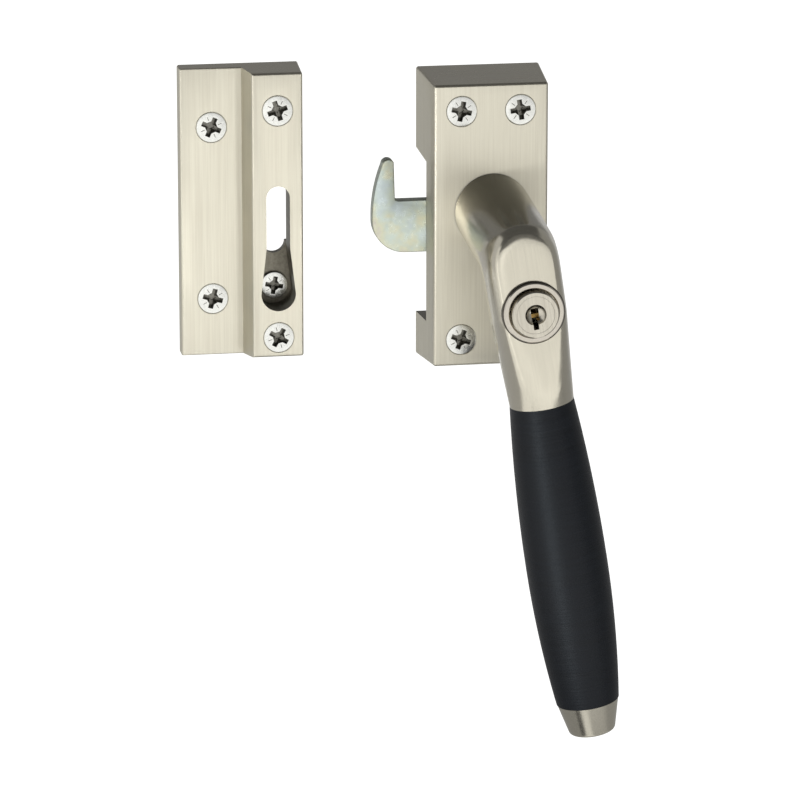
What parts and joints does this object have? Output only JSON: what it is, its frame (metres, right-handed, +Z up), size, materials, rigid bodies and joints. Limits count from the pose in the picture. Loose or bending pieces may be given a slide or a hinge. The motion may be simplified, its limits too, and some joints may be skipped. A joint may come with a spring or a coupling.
{
  "type": "window lock",
  "caption": "Surface-mounted casement window lock: lever handle with a push-to-lock key cylinder, housing with a swinging hook, and a separate stepped keep.",
  "frame": {"origin": "centre of the rectangle of the housing's four screws, on the mounting plane", "axes": "+Z up along the closed housing, +Y into the window frame (the screws' way in), +X to the right as seen from the room"},
  "size_m": [0.1184, 0.0886, 0.1874],
  "materials": {
    "satin_nickel": "satin nickel plate, finely brushed, on a zinc casting",
    "polished_nickel": "turned and polished nickel plate",
    "bright_zinc": "bright zinc plate on a stamped steel plate",
    "zinc_plated_steel": "zinc-plated steel",
    "bright_screws": "bright zinc-plated steel screws",
    "dark_steel": "blackened steel",
    "brass": "plain brass",
    "black_nylon": "matte moulded nylon",
    "black_grip": "black-stained hardwood with a satin lacquer"
  },
  "bodies": {
    "lock_case": {"housing": "satin_nickel", "back_plate": "zinc_plated_steel", "back_plate_rivets": "zinc_plated_steel", "housing_screws": "bright_screws", "spindle_bush": "brass", "neck_washer": "black_nylon", "keep": "satin_nickel", "keep_flange_screws": "bright_screws", "keep_block_screws": "bright_screws", "keep_floor_screw": "bright_screws"},
    "handle": {"hook": "bright_zinc", "spindle": "zinc_plated_steel", "spring_washer": "zinc_plated_steel", "lever": "satin_nickel", "lever_set_screw": "dark_steel", "lock_collar": "polished_nickel", "lock_spring": "dark_steel", "grip": "black_grip", "grip_rod": "zinc_plated_steel", "end_cap": "satin_nickel"},
    "push_lock": {"lock_barrel": "polished_nickel", "locking_bolt": "zinc_plated_steel", "lock_catch": "brass"},
    "key_plug": {"lock_plug": "polished_nickel", "lock_wafers": "brass", "plug_clip": "zinc_plated_steel"}
  },
  "joints": [
    {"name": "handle_turn", "type": "hinge", "parent": "lock_case", "child": "handle", "pos_m": [0.0006, 0, 0.004], "axis": [0, -1, 0], "range_deg": [0, 90]},
    {"name": "lock_push", "type": "slide", "parent": "handle", "child": "push_lock", "axis": [0, 1, 0], "range_m": [0, 0.0035], "stiffness_N_per_m": 600, "springref_m": -0.004, "deforming": ["lock_spring"]},
    {"name": "key_turn", "type": "hinge", "parent": "push_lock", "child": "key_plug", "pos_m": [0.00352, -0.0636, -0.01447], "axis": [0, -1, 0], "range_deg": [0, 90]}
  ]
}
